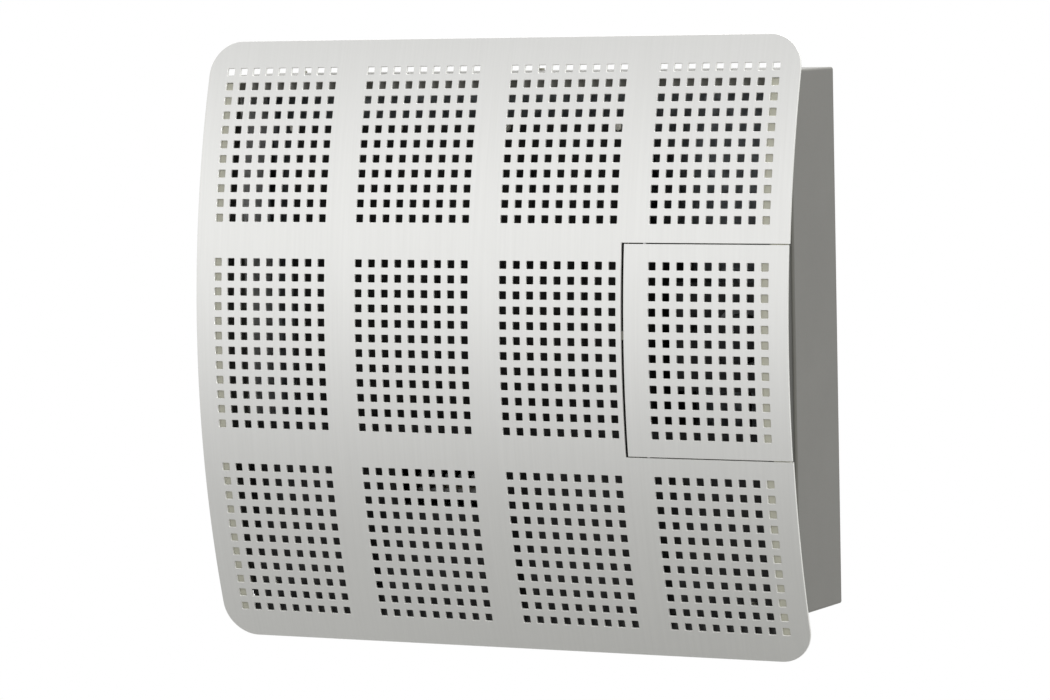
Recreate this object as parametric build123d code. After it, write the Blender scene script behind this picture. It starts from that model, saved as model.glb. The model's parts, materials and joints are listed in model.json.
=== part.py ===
from build123d import *
import math
import os

# Wall-hung gas heater. +X is to the right seen from the room, +Y goes into the wall, +Z is up.
# The origin is the centre of the wall bolts, on the wall's face. All sizes are in millimetres.

# Front panel, a punched sheet rolled about a level axis
panel_width = 660.0
panel_arc_length = 620.0
panel_radius = 980.0
panel_sheet = 2.0
panel_corner = 35.0
wall_to_panel = 147.0

# Punched square holes, in blocks
hole_side = 8.0
hole_pitch = 15.0
holes_across = 9
blocks_across = 4
block_spacing = 163.0
middle_rows = 12
outer_rows = 11
gap_between_rows_of_blocks = 45.0

# Control door, cut out of the right end of the middle blocks
door_left = 154.0
door_left_gap = 3.0
door_height = 208.0
door_end_gap = 1.2
door_right_setback = 1.0

# Door hinge and catch
hinge_inset = 20.0
hinge_behind_face = 11.0
hinge_pin_radius = 2.0
hinge_barrel_wall = 2.0
hinge_barrel_length = 22.0
hinge_barrel_from_end = 14.0
hinge_leaf_width = 21.0
hinge_leaf_sheet = 1.5
hinge_ear_thickness = 4.0
hinge_ear_gap = 4.0
hinge_bracket_height = 14.0
catch_width = 14.0
catch_height = 30.0
catch_depth = 12.0
magnet_width = 6.0
magnet_height = 22.0
magnet_depth = 8.0

# Strips and rails that carry the panel
strip_width = 32.5
strip_sheet = 1.2
strip_from_panel_edge = 3.0
strip_top_arc = 266.0
strip_bottom_arc = -283.0
strip_door_lap = 4.0
strip_door_clearance = 2.0
strip_wide_from_door = 3.0
strip_tongue_width = 18.0
rail_sheet = 1.5
rail_inset = 2.5
rail_flange = 14.0
rail_half_height = 248.0
rail_door_relief = 5.0
cross_rail_half_length = 297.0
cross_rail_drop = 25.0
cross_rail_leg = 24.0
cross_rail_behind_front = 1.0

# Plate over the casing's lower opening
front_plate_half_length = 297.0
front_plate_top = -84.0
front_plate_lip = 5.0
front_plate_lap = 3.0
front_plate_screw_inset = 28.0
front_plate_screw_length = 6.0

# Casing
casing_width = 632.0
casing_depth = 101.5
casing_top = 270.0
casing_bottom = -259.0
casing_sheet = 1.2
casing_bend = 2.5
casing_flange = 18.0
slot_length = 60.0
slot_width = 8.0
slot_pitch = 72.0
slots_in_row = 7
slot_row_spacing = 18.0
slot_rows = 3
slot_first_row_depth = 24.0

# Wall plate
plate_sheet = 1.5
plate_flange = 20.0
wall_bolt_spacing_x = 520.0
wall_bolt_spacing_z = 400.0
wall_bolt_hole_radius = 3.5

# Combustion chamber
chamber_centre_x = -60.0
chamber_width = 356.0
chamber_height = 400.0
chamber_bottom = -190.0
chamber_depth = 64.0
chamber_behind = 18.0
chamber_sheet = 1.5
chamber_flange = 12.0
chamber_gasket_thickness = 2.0
cover_sheet = 1.5
cover_rib_width = 10.0
cover_rib_height = 3.0
cover_rib_length = 250.0
cover_rib_pitch = 55.0
cover_ribs = 6
cover_rib_centre_above_bottom = 250.0
bolts_along_width = 4
bolts_along_height = 5

# Sight glass in the chamber cover
window_width = 120.0
window_height = 50.0
window_above_bottom = 52.0
glass_lap = 10.0
glass_thickness = 4.0
glass_gasket_thickness = 1.5
frame_sheet = 1.5
frame_margin = 14.0
frame_lap = 6.0

# Baffle, burner and pilot
baffle_half_width = 110.0
baffle_above_bottom = 200.0
baffle_rise = 30.0
baffle_sheet = 1.5
baffle_front_gap = 4.0
burner_radius = 14.0
burner_wall = 1.2
burner_above_bottom = 40.0
burner_left_gap = 15.0
burner_outside_length = 12.0
burner_port_pitch = 7.0
burner_ports = 40
burner_port_width = 2.0
burner_port_length = 16.0
cradle_inset = 50.0
cradle_width = 40.0
injector_radius = 5.0
injector_jet_radius = 1.0
injector_hex = 14.0
injector_bracket_reach = 26.0
injector_bracket_height = 46.0
injector_bracket_width = 36.0
pilot_above_bottom = 80.0
pilot_radius = 5.0
pilot_wall = 1.0
pilot_hood_length = 10.0
pilot_reach = 46.0
electrode_radius = 3.5
electrode_tip_radius = 1.0
thermocouple_radius = 3.0
pilot_row_pitch = 14.0
pilot_plate_sheet = 2.0
pilot_plate_height = 26.0
pilot_tail = 12.0

# Flue and air supply
flue_radius = 50.0
flue_wall = 1.0
flue_beyond_wall = 60.0
flue_flange = 10.0
air_radius = 75.0
air_wall = 1.0
collar_sheet = 1.5
air_beyond_wall = 40.0
air_flange = 7.0
bead_height = 1.0
bead_length = 3.0
bead_from_wall = 2.0
flue_above_bottom = 305.0
flue_gasket_thickness = 1.5
duct_wall = 1.2
duct_half_width = 84.0
duct_top_above_flue = 85.0
duct_bottom_above_chamber = 8.0
air_slot_width = 120.0
air_slot_height = 20.0

# Controls behind the door
control_x = 250.0
control_z = 8.0
bracket_sheet = 1.5
bracket_front_depth = 72.0
bracket_left = 168.0
bracket_right = 304.0
bracket_top = 62.0
bracket_bottom = -45.0
bracket_foot = 12.0
valve_width = 76.0
valve_height = 70.0
valve_depth = 44.0
valve_edge = 4.0
spindle_radius = 4.0
spindle_length = 38.0
spindle_in_valve = 12.0
spindle_travel = 4.0
knob_radius = 25.0
knob_length = 22.0
knob_grip_count = 12
knob_grip_depth = 1.5
knob_spare_travel = 1.2
pointer_height = 0.5
pointer_inner_end = 8.0
pointer_outer_end = 22.0
dial_radius = 33.0
dial_sheet = 1.5
dial_mark_count = 8
dial_mark_inset = 4.0
dial_sweep = 270.0
igniter_x = 190.0
igniter_z = 20.0
igniter_radius = 9.0
igniter_length = 42.0
igniter_flange = 2.0
button_radius = 6.0
button_length = 16.0
button_in_body = 8.0
button_travel = 6.0
button_edge = 1.0

# Pipes, leads and the thermostat's bulb
port_depth = 48.0
inlet_pipe_radius = 7.5
inlet_pipe_x = 268.0
inlet_below_casing = 32.0
inlet_free_length = 22.0
inlet_pipe_wall = 1.0
inlet_nut_flats = 24.0
inlet_nut_height = 14.0
burner_pipe_radius = 4.0
burner_pipe_x = 240.0
pilot_pipe_radius = 2.0
pilot_pipe_x = 222.0
thermocouple_lead_radius = 1.2
thermocouple_lead_x = 230.0
igniter_lead_radius = 1.5
igniter_lead_depth = 14.0
pipe_bend = 14.0
lead_bend = 7.0
bulb_radius = 4.0
bulb_length = 80.0
bulb_left = 150.0
bulb_above_casing_bottom = 24.0
bulb_depth = 32.0
bulb_bracket_margin = 2.0
bulb_bracket_from_end = 16.0
bulb_bracket_spacing = 32.0
capillary_radius = 0.8
capillary_x = 296.5
grommet_lip = 3.0
grommet_wall = 2.5

# Heat shield between chamber and controls
shield_x = 148.0
shield_sheet = 1.2
shield_top = 90.0
shield_above_pilot = 8.0
shield_front_depth = 76.0
shield_foot = 14.0

# Fasteners
small_screw_radius = 2.0
small_head_radius = 3.8
small_head_height = 2.4
small_screw_length = 8.0
bolt_radius = 2.5
bolt_flats = 8.0
bolt_head_height = 3.5
nut_height = 4.0
bolt_length = 14.0
recess_width = 0.9
recess_length = 4.4
recess_depth = 1.3

# Clearances
hole_clearance = 0.25
running_clearance = 0.05
bond_gap = 0.3
sheet_gap = 0.2
tool_overrun = 1.0
length_tolerance = 0.01

# Places that follow from the sizes above
axis_y = panel_radius - wall_to_panel
panel_half = panel_width / 2
panel_half_arc = panel_arc_length / 2
panel_back_radius = panel_radius - panel_sheet
door_half = door_height / 2
casing_half = casing_width / 2
casing_front = -casing_depth
strip_radius = panel_back_radius - bond_gap
strip_back_radius = strip_radius - strip_sheet
strip_outer_x = panel_half - strip_from_panel_edge
strip_inner_x = strip_outer_x - strip_width
rail_x = casing_half - rail_inset
hinge_x = door_left + hinge_inset
hinge_y = hinge_behind_face - wall_to_panel
hinge_barrel_radius = hinge_pin_radius + running_clearance + hinge_barrel_wall
plate_front = -plate_sheet
chamber_left = chamber_centre_x - chamber_width / 2
chamber_right = chamber_centre_x + chamber_width / 2
chamber_top = chamber_bottom + chamber_height
chamber_back = -chamber_behind
chamber_front = chamber_back - chamber_depth
cover_back = chamber_front - chamber_gasket_thickness
cover_front = cover_back - cover_sheet
window_z = chamber_bottom + window_above_bottom
glass_back = cover_front - glass_gasket_thickness
glass_front = glass_back - glass_thickness
burner_z = chamber_bottom + burner_above_bottom
pilot_z = chamber_bottom + pilot_above_bottom
flue_z = chamber_bottom + flue_above_bottom
shield_bottom = pilot_z + shield_above_pilot
bracket_front = -bracket_front_depth
bracket_back = bracket_front + bracket_sheet
dial_front = bracket_front - dial_sheet
port_y = -port_depth
valve_bottom = control_z - valve_height / 2
injector_plate_x = chamber_right + injector_bracket_reach
air_flange_back = plate_front - flue_gasket_thickness
air_flange_front = air_flange_back - collar_sheet
gas_pipe_end = casing_bottom - inlet_below_casing


def block(x_min, x_max, y_min, y_max, z_min, z_max):
    """A box given by its limits."""
    size = Box(x_max - x_min, y_max - y_min, z_max - z_min)
    return Pos((x_min + x_max) / 2, (y_min + y_max) / 2, (z_min + z_max) / 2) * size


def rod(start, end, radius):
    """A round bar between two points."""
    axis = Vector(*end) - Vector(*start)
    return Solid.make_cylinder(radius, axis.length, Plane(origin=start, z_dir=axis))


def tube(start, end, radius, wall):
    """A round tube between two points."""
    return rod(start, end, radius) - rod(start, end, radius - wall)


def hex_bar(start, end, flats):
    """A hexagonal bar between two points, sized across its flats."""
    axis = Vector(*end) - Vector(*start)
    profile = RegularPolygon(flats / 2, 6, major_radius=False)
    return extrude(Plane(origin=start, z_dir=axis) * profile, axis.length)


def pipe(points, bend, radius):
    """A round bar bent along straight runs, with the same bend at each corner."""
    path = FilletPolyline(*points, radius=bend)
    return sweep(Plane(origin=path @ 0, z_dir=path % 0) * Circle(radius), path=path)


def curved_plate(x_min, x_max, s_min, s_max, outer_radius, thickness):
    """A rolled plate about the panel's axis. s is measured along the panel's outer face."""
    start = 180 - math.degrees(s_min / panel_radius)
    sweep_angle = -math.degrees((s_max - s_min) / panel_radius)
    outer = CenterArc((axis_y, 0), outer_radius, start, sweep_angle)
    inner = CenterArc((axis_y, 0), outer_radius - thickness, start, sweep_angle)
    profile = make_face([outer, Line(outer @ 1, inner @ 1), inner, Line(inner @ 0, outer @ 0)])
    return extrude(Plane.YZ.offset(x_min) * profile, x_max - x_min, dir=(1, 0, 0))


def on_panel(x, s, inset=0.0):
    """A place on the curved face: its Y points straight into the sheet, its Z up along the arc."""
    turn = Rot(-math.degrees(s / panel_radius), 0, 0)
    return Pos(0, axis_y, 0) * turn * Pos(x, inset - panel_radius, 0)


def ring_plate(x_min, x_max, z_min, z_max, band, y_min, y_max):
    """A flat rectangular ring."""
    inside = block(x_min + band, x_max - band, y_min, y_max, z_min + band, z_max - band)
    return block(x_min, x_max, y_min, y_max, z_min, z_max) - inside


def row_arcs(band):
    """Arc positions of the hole rows. Band 1 is the upper row of blocks, 0 the middle, -1 the lower."""
    middle = [(row - (middle_rows - 1) / 2) * hole_pitch for row in range(middle_rows)]
    if band == 0:
        return middle
    first = middle[-1] + gap_between_rows_of_blocks
    return [band * (first + row * hole_pitch) for row in range(outer_rows)]


def block_punches(column, band):
    """The square punches of one block of holes."""
    centre_x = (column - (blocks_across - 1) / 2) * block_spacing
    punches = []
    for s in row_arcs(band):
        for hole in range(holes_across):
            x = centre_x + (hole - (holes_across - 1) / 2) * hole_pitch
            punch = Box(hole_side, 3 * panel_sheet, hole_side)
            punches.append(on_panel(x, s, panel_sheet / 2) * punch)
    return punches


def front_panel():
    sheet = curved_plate(-panel_half, panel_half, -panel_half_arc, panel_half_arc,
                         panel_radius, panel_sheet)
    corners = [edge for edge in sheet.edges() if abs(edge.length - panel_sheet) < length_tolerance]
    sheet = fillet(corners, panel_corner)
    door_hole = curved_plate(door_left - door_left_gap, panel_half + panel_sheet,
                             -door_half - door_end_gap, door_half + door_end_gap,
                             panel_radius + panel_sheet, 3 * panel_sheet)
    punches = [door_hole]
    for column in range(blocks_across):
        for band in (-1, 0, 1):
            if (column, band) != (blocks_across - 1, 0):
                punches += block_punches(column, band)
    return sheet.cut(*punches)


def door_panel():
    sheet = curved_plate(door_left, panel_half - door_right_setback, -door_half, door_half,
                         panel_radius, panel_sheet)
    return sheet.cut(*block_punches(blocks_across - 1, 0))


def edge_strip(x_min, x_max, s_min, s_max):
    return curved_plate(x_min, x_max, s_min, s_max, strip_radius, strip_sheet)


def left_edge_strip():
    return edge_strip(-strip_outer_x, -strip_inner_x, strip_bottom_arc, strip_top_arc)


def right_edge_strips():
    """Two strips, each with a tongue that reaches behind the door's end, where the door closes on it."""
    tip = door_half - strip_door_lap
    root = door_half + strip_wide_from_door
    tongue_x = strip_outer_x - strip_tongue_width
    upper = edge_strip(strip_inner_x, strip_outer_x, root, strip_top_arc)
    lower = edge_strip(strip_inner_x, strip_outer_x, strip_bottom_arc, -root)
    return Compound([upper + edge_strip(tongue_x, strip_outer_x, tip, root),
                     lower + edge_strip(tongue_x, strip_outer_x, -root, -tip)])


def door_edge_strip():
    half = door_half - strip_door_lap - strip_door_clearance
    return edge_strip(strip_inner_x, strip_outer_x - door_right_setback, -half, half)


def side_rail():
    """The right rail: a crescent web between arc and casing, with a curved flange and a flat foot."""
    arc_radius = strip_back_radius - sheet_gap
    half_arc = panel_radius * math.asin(rail_half_height / panel_radius)
    body = block(rail_x - rail_flange, rail_x, -wall_to_panel, casing_front,
                 -rail_half_height, rail_half_height)
    whole = curved_plate(rail_x - rail_flange, rail_x, -half_arc, half_arc, arc_radius, casing_depth)
    inside = curved_plate(rail_x - rail_flange, rail_x - rail_sheet, -panel_half_arc, panel_half_arc,
                          arc_radius - rail_sheet, casing_depth)
    room = block(rail_x - rail_flange, rail_x - rail_sheet, -wall_to_panel, casing_front - rail_sheet,
                 -rail_half_height, rail_half_height)
    return (whole & body) - (inside & room)


def right_side_rail():
    """Behind the door the rail's flange is cut away, so that the door's own strip clears it."""
    relief_half = door_half + strip_door_clearance
    relief = curved_plate(rail_x - rail_flange, rail_x, -relief_half, relief_half,
                          strip_back_radius, rail_door_relief)
    return side_rail() - relief - rail_screw_holes()


def left_side_rail():
    return mirror(side_rail() - rail_screw_holes(), Plane.YZ)


def rail_screw_places():
    x = rail_x - rail_flange / 2 - rail_sheet / 2
    reach = rail_half_height - rail_flange
    return [(x, z) for z in (-reach, 0, reach)]


def rail_screw_holes():
    return Compound([
        rod((x, casing_front - 2 * rail_sheet, z), (x, casing_front + 2 * casing_sheet, z),
            small_screw_radius + hole_clearance)
        for x, z in rail_screw_places()
    ])


def lower_cross_rail():
    """A black angle under the casing that backs the lowest row of holes."""
    front = casing_front + cross_rail_behind_front
    upright = block(-cross_rail_half_length, cross_rail_half_length, front, front + rail_sheet,
                    casing_bottom - cross_rail_drop, casing_bottom)
    ledge = block(-cross_rail_half_length, cross_rail_half_length, front, front + cross_rail_leg,
                  casing_bottom - rail_sheet, casing_bottom)
    angle = upright + ledge
    for x in cross_rail_screw_places():
        angle -= rod((x, cross_rail_screw_y(), casing_bottom - 2 * rail_sheet),
                     (x, cross_rail_screw_y(), casing_bottom + rail_sheet),
                     small_screw_radius + hole_clearance)
    return angle


def cross_rail_screw_places():
    reach = cross_rail_half_length - 2 * rail_flange
    return [-reach, 0, reach]


def cross_rail_screw_y():
    return casing_front + cross_rail_behind_front + cross_rail_leg / 2


def front_plate_screw_places():
    reach = front_plate_half_length - front_plate_screw_inset
    return [(x, casing_bottom + casing_flange / 2) for x in (-reach, 0, reach)]


def front_plate_screw_holes():
    return [rod((x, casing_front - rail_sheet, z), (x, casing_front + casing_sheet, z),
                small_screw_radius + hole_clearance) for x, z in front_plate_screw_places()]


def lower_front_plate():
    """A black plate over the casing's lower opening, with a lip on top and a hole for the sight glass."""
    half = front_plate_half_length
    plate = block(-half, half, casing_front - rail_sheet, casing_front,
                  casing_bottom - front_plate_lap, front_plate_top)
    plate += block(-half, half, casing_front, casing_front + front_plate_lip,
                   front_plate_top - rail_sheet, front_plate_top)
    plate -= window_block(0, casing_front - rail_sheet, casing_front)
    return plate.cut(*front_plate_screw_holes())


def rounded_tray(x_half, z_min, z_max, front, back, radius):
    """A solid block with its front rim and its corners rounded, as a folded tray's outside is."""
    solid = block(-x_half, x_half, front, back, z_min, z_max)
    rim = solid.faces().sort_by(Axis.Y)[0].edges()
    corners = solid.edges().filter_by(Axis.Y)
    return fillet(rim + corners, radius)


def convection_slots(z):
    """Rows of slots through the casing's top or bottom wall."""
    slot = extrude(SlotOverall(slot_length, slot_width), 2 * casing_bend, both=True)
    slots = []
    for row in range(slot_rows):
        y = casing_front + slot_first_row_depth + row * slot_row_spacing
        for place in range(slots_in_row):
            x = (place - (slots_in_row - 1) / 2) * slot_pitch
            slots.append(Pos(x, y, z) * slot)
    return slots


def casing_screw_places():
    reach = casing_half - 2 * plate_flange
    return [-reach, 0, reach]


def casing_screw(x, side, radius, length):
    """A screw's shank through the casing's top (side 1) or bottom (side -1) into the wall plate."""
    z = casing_top if side > 0 else casing_bottom
    return rod((x, -plate_flange / 2, z), (x, -plate_flange / 2, z - side * length), radius)


def casing():
    outside = rounded_tray(casing_half, casing_bottom, casing_top, casing_front, 0, casing_bend)
    inside = rounded_tray(casing_half - casing_sheet, casing_bottom + casing_sheet,
                          casing_top - casing_sheet, casing_front + casing_sheet, casing_sheet,
                          casing_bend - casing_sheet)
    opening = block(-casing_half + casing_flange, casing_half - casing_flange,
                    2 * casing_front, casing_front + 2 * casing_sheet,
                    casing_bottom + casing_flange, casing_top - casing_flange)
    cuts = [inside, opening]
    cuts += convection_slots(casing_top)
    cuts += convection_slots(casing_bottom)
    cuts += [rail_screw_holes(), mirror(rail_screw_holes(), Plane.YZ)]
    cuts += front_plate_screw_holes()
    for x in cross_rail_screw_places():
        cuts.append(rod((x, cross_rail_screw_y(), casing_bottom - casing_sheet),
                        (x, cross_rail_screw_y(), casing_bottom + 2 * casing_sheet),
                        small_screw_radius + hole_clearance))
    for x in casing_screw_places():
        for side in (-1, 1):
            cuts.append(casing_screw(x, side, small_screw_radius + hole_clearance, 2 * casing_sheet))
    cuts.append(rod((inlet_pipe_x, port_y, casing_bottom - casing_sheet),
                    (inlet_pipe_x, port_y, casing_bottom + 2 * casing_sheet),
                    grommet_neck_radius() + running_clearance))
    return outside.cut(*cuts)


def wall_bolt_places():
    half_x = wall_bolt_spacing_x / 2
    half_z = wall_bolt_spacing_z / 2
    return [(x, z) for x in (-half_x, half_x) for z in (-half_z, half_z)]


def wall_plate():
    x_half = casing_half - casing_sheet - bond_gap
    z_min = casing_bottom + casing_sheet + bond_gap
    z_max = casing_top - casing_sheet - bond_gap
    tray = block(-x_half, x_half, -plate_flange, 0, z_min, z_max)
    tray = fillet(tray.edges().filter_by(Axis.Y), casing_bend)
    tray -= block(-x_half + plate_sheet, x_half - plate_sheet, -plate_flange, plate_front,
                  z_min + plate_sheet, z_max - plate_sheet)
    cuts = [rod((x, plate_front, z), (x, 0, z), wall_bolt_hole_radius) for x, z in wall_bolt_places()]
    cuts.append(rod((chamber_centre_x, plate_front, flue_z), (chamber_centre_x, 0, flue_z),
                    air_radius + bead_height + bond_gap))
    for x in casing_screw_places():
        for side in (-1, 1):
            cuts.append(casing_screw(x, side, small_screw_radius + hole_clearance,
                                     casing_sheet + 2 * plate_sheet))
    return tray.cut(*cuts)


def pan_screw(head_at, direction, length=small_screw_length):
    """A cross-recessed pan head screw. Its head meets the work at head_at."""
    work = Plane(origin=head_at, z_dir=direction)
    head = Pos(0, 0, -small_head_height / 2) * Cylinder(small_head_radius, small_head_height)
    shank = Pos(0, 0, length / 2) * Cylinder(small_screw_radius, length)
    screw = head + shank
    for arm in ((recess_length, recess_width), (recess_width, recess_length)):
        screw -= Pos(0, 0, -small_head_height) * Box(*arm, 2 * recess_depth)
    return work * screw


def casing_screws():
    screws = []
    for x in casing_screw_places():
        screws.append(pan_screw((x, -plate_flange / 2, casing_top), (0, 0, -1)))
        screws.append(pan_screw((x, -plate_flange / 2, casing_bottom), (0, 0, 1)))
    return Compound(screws)


def panel_screws():
    """The screws that hold the rails, the lower front plate and the cross rail to the casing."""
    screws = []
    for x, z in rail_screw_places():
        for side in (-1, 1):
            screws.append(pan_screw((side * x, casing_front - rail_sheet, z), (0, 1, 0)))
    for x in cross_rail_screw_places():
        screws.append(pan_screw((x, cross_rail_screw_y(), casing_bottom - rail_sheet), (0, 0, 1)))
    for x, z in front_plate_screw_places():
        screws.append(pan_screw((x, casing_front - rail_sheet, z), (0, 1, 0), front_plate_screw_length))
    return Compound(screws)


def hinge_leaf_end(side):
    """Where the barrel ends towards the door's end. side is 1 at the top, -1 at the bottom."""
    return side * (door_half - hinge_barrel_from_end)


def door_hinge_leaves():
    """Curved leaves on the door's back, each with a barrel that turns on a pin."""
    leaves = []
    for side in (-1, 1):
        far = hinge_leaf_end(side)
        near = far - side * hinge_barrel_length
        leaf = curved_plate(hinge_x - hinge_leaf_width / 2 - hinge_barrel_radius,
                            hinge_x + hinge_leaf_width / 2 - hinge_barrel_radius,
                            min(near, far), max(near, far), strip_radius, hinge_leaf_sheet)
        barrel = rod((hinge_x, hinge_y, near), (hinge_x, hinge_y, far), hinge_barrel_radius)
        room = curved_plate(hinge_x - hinge_leaf_width, hinge_x + hinge_leaf_width, -door_half,
                            door_half, strip_radius, casing_depth)
        barrel_and_web = (barrel + block(hinge_x - hinge_barrel_radius, hinge_x + hinge_barrel_radius,
                                         -wall_to_panel, hinge_y, min(near, far), max(near, far))) & room
        bore = rod((hinge_x, hinge_y, near - side), (hinge_x, hinge_y, far + side),
                   hinge_pin_radius + running_clearance)
        leaves.append(leaf + barrel_and_web - bore)
    return Compound(leaves)


def hinge_ear_start(side):
    return side * (door_half + hinge_ear_gap)


def hinge_brackets():
    """Ears on the back of the fixed panel, above and below the door, that hold the hinge pins."""
    brackets = []
    for side in (-1, 1):
        near = hinge_ear_start(side)
        far = near + side * hinge_bracket_height
        leaf = curved_plate(hinge_x - hinge_leaf_width / 2, hinge_x + hinge_leaf_width / 2,
                            min(near, far), max(near, far), strip_radius, hinge_leaf_sheet)
        ear_end = near + side * hinge_ear_thickness
        ear = block(hinge_x - hinge_leaf_width / 2, hinge_x + hinge_leaf_width / 2, -wall_to_panel,
                    hinge_y + 2 * hinge_pin_radius, min(near, ear_end), max(near, ear_end))
        room = curved_plate(hinge_x - hinge_leaf_width, hinge_x + hinge_leaf_width, -panel_half_arc,
                            panel_half_arc, strip_radius, casing_depth)
        hole = rod((hinge_x, hinge_y, near - side), (hinge_x, hinge_y, far + side),
                   hinge_pin_radius + running_clearance)
        brackets.append(leaf + (ear & room) - hole)
    return Compound(brackets)


def hinge_pins():
    pins = []
    for side in (-1, 1):
        inner = hinge_leaf_end(side) - side * hinge_barrel_length
        outer = hinge_ear_start(side) + side * hinge_ear_thickness
        pins.append(rod((hinge_x, hinge_y, inner), (hinge_x, hinge_y, outer), hinge_pin_radius))
    return Compound(pins)


def catch_limits():
    """Front, back and right limits of the door catch."""
    front = axis_y - strip_back_radius + bond_gap
    return front, front + catch_depth, rail_x - rail_sheet


def door_catch():
    front, back, right = catch_limits()
    body = block(right - catch_width, right, front, back, -catch_height / 2, catch_height / 2)
    return body - catch_magnet()


def catch_magnet():
    front, back, right = catch_limits()
    centre = right - catch_width / 2
    return block(centre - magnet_width / 2, centre + magnet_width / 2, front, front + magnet_depth,
                 -magnet_height / 2, magnet_height / 2)


def rim_points(x_min, x_max, z_min, z_max, count_x, count_z):
    """Evenly spaced places round a rectangle, corners included."""
    xs = [x_min + (x_max - x_min) * i / (count_x - 1) for i in range(count_x)]
    zs = [z_min + (z_max - z_min) * i / (count_z - 1) for i in range(count_z)]
    ends = [(x, z) for x in xs for z in (z_min, z_max)]
    sides = [(x, z) for x in (x_min, x_max) for z in zs[1:-1]]
    return ends + sides


def cover_bolt_places():
    out = chamber_flange / 2
    return rim_points(chamber_left - out, chamber_right + out, chamber_bottom - out, chamber_top + out,
                      bolts_along_width, bolts_along_height)


def cover_bolt_holes():
    return [rod((x, cover_front - tool_overrun, z), (x, chamber_front + chamber_flange, z),
                bolt_radius + hole_clearance) for x, z in cover_bolt_places()]


def chamber_rim(band, y_min, y_max):
    out = chamber_flange
    return ring_plate(chamber_left - out, chamber_right + out, chamber_bottom - out,
                      chamber_top + out, band, y_min, y_max)


def combustion_chamber():
    shell = block(chamber_left, chamber_right, chamber_front, chamber_back, chamber_bottom, chamber_top)
    shell -= block(chamber_left + chamber_sheet, chamber_right - chamber_sheet,
                   chamber_front, chamber_back - chamber_sheet,
                   chamber_bottom + chamber_sheet, chamber_top - chamber_sheet)
    shell += chamber_rim(chamber_flange + chamber_sheet, chamber_front, chamber_front + chamber_sheet)
    cuts = cover_bolt_holes()
    cuts.append(rod((chamber_centre_x, chamber_back - 2 * chamber_sheet, flue_z),
                    (chamber_centre_x, chamber_back + chamber_sheet, flue_z),
                    flue_radius + bead_height + bond_gap))
    cuts.append(rod((chamber_right - 2 * chamber_sheet, port_y, burner_z),
                    (chamber_right + chamber_sheet, port_y, burner_z), burner_radius + bond_gap))
    for y, radius in pilot_rods():
        cuts.append(rod((chamber_right - 2 * chamber_sheet, y, pilot_z),
                        (chamber_right + chamber_sheet, y, pilot_z), radius + hole_clearance))
    slot_bottom = chamber_bottom + duct_bottom_above_chamber + air_slot_height / 2
    cuts.append(block(chamber_centre_x - air_slot_width / 2, chamber_centre_x + air_slot_width / 2,
                      chamber_back - 2 * chamber_sheet, chamber_back + chamber_sheet,
                      slot_bottom, slot_bottom + air_slot_height))
    return shell.cut(*cuts)


def chamber_gasket():
    return chamber_rim(chamber_flange, cover_back, chamber_front).cut(*cover_bolt_holes())


def window_block(margin, y_min, y_max):
    """A block over the window, larger than it by the margin on every side."""
    half_width = window_width / 2 + margin
    half_height = window_height / 2 + margin
    return block(chamber_centre_x - half_width, chamber_centre_x + half_width, y_min, y_max,
                 window_z - half_height, window_z + half_height)


def frame_screw_places():
    reach_x = window_width / 2 + glass_lap + frame_margin / 2
    reach_z = window_height / 2 + glass_lap + frame_margin / 2
    return [(chamber_centre_x + sx * reach_x, window_z + sz * reach_z)
            for sx in (-1, 1) for sz in (-1, 1)]


def frame_front():
    return glass_front - frame_sheet


def frame_screw_holes():
    front = frame_front() - tool_overrun
    return [rod((x, front, z), (x, cover_back + tool_overrun, z), small_screw_radius + hole_clearance)
            for x, z in frame_screw_places()]


def chamber_cover():
    out = chamber_flange
    cover = block(chamber_left - out, chamber_right + out, cover_front, cover_back,
                  chamber_bottom - out, chamber_top + out)
    rib = Box(cover_rib_width, 2 * cover_rib_height, cover_rib_length)
    rib = fillet(rib.faces().sort_by(Axis.Y)[0].edges(), cover_rib_height / 2)
    for place in range(cover_ribs):
        x = chamber_centre_x + (place - (cover_ribs - 1) / 2) * cover_rib_pitch
        cover += Pos(x, cover_front, chamber_bottom + cover_rib_centre_above_bottom) * rib \
            & block(x - cover_rib_width, x + cover_rib_width, 2 * cover_front, cover_back,
                    chamber_bottom, chamber_top)
    cuts = cover_bolt_holes() + frame_screw_holes() + [window_block(0, 2 * cover_front, cover_back)]
    return cover.cut(*cuts)


def cover_bolts():
    """Hexagon bolts round the cover, each with its nut behind the chamber's flange."""
    solids = []
    nut_front = chamber_front + chamber_sheet
    for x, z in cover_bolt_places():
        head = hex_bar((x, cover_front - bolt_head_height, z), (x, cover_front, z), bolt_flats)
        shank = rod((x, cover_front, z), (x, cover_front + bolt_length, z), bolt_radius)
        nut = hex_bar((x, nut_front, z), (x, nut_front + nut_height, z), bolt_flats)
        bore = rod((x, nut_front, z), (x, nut_front + nut_height, z), bolt_radius + running_clearance)
        solids += [head + shank, nut - bore]
    return Compound(solids)


def sight_glass():
    return window_block(glass_lap, glass_front, glass_back)


def glass_gasket():
    return window_block(glass_lap, glass_back, cover_front) - window_block(0, glass_back, cover_front)


def glass_frame():
    margin = glass_lap + frame_margin
    frame = window_block(margin, frame_front(), cover_front)
    frame -= window_block(margin - frame_sheet, glass_front, cover_front)
    frame -= window_block(glass_lap - frame_lap, frame_front(), glass_front)
    return frame.cut(*frame_screw_holes())


def glass_frame_screws():
    return Compound([pan_screw((x, frame_front(), z), (0, 1, 0), small_screw_length + glass_thickness)
                     for x, z in frame_screw_places()])


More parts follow.
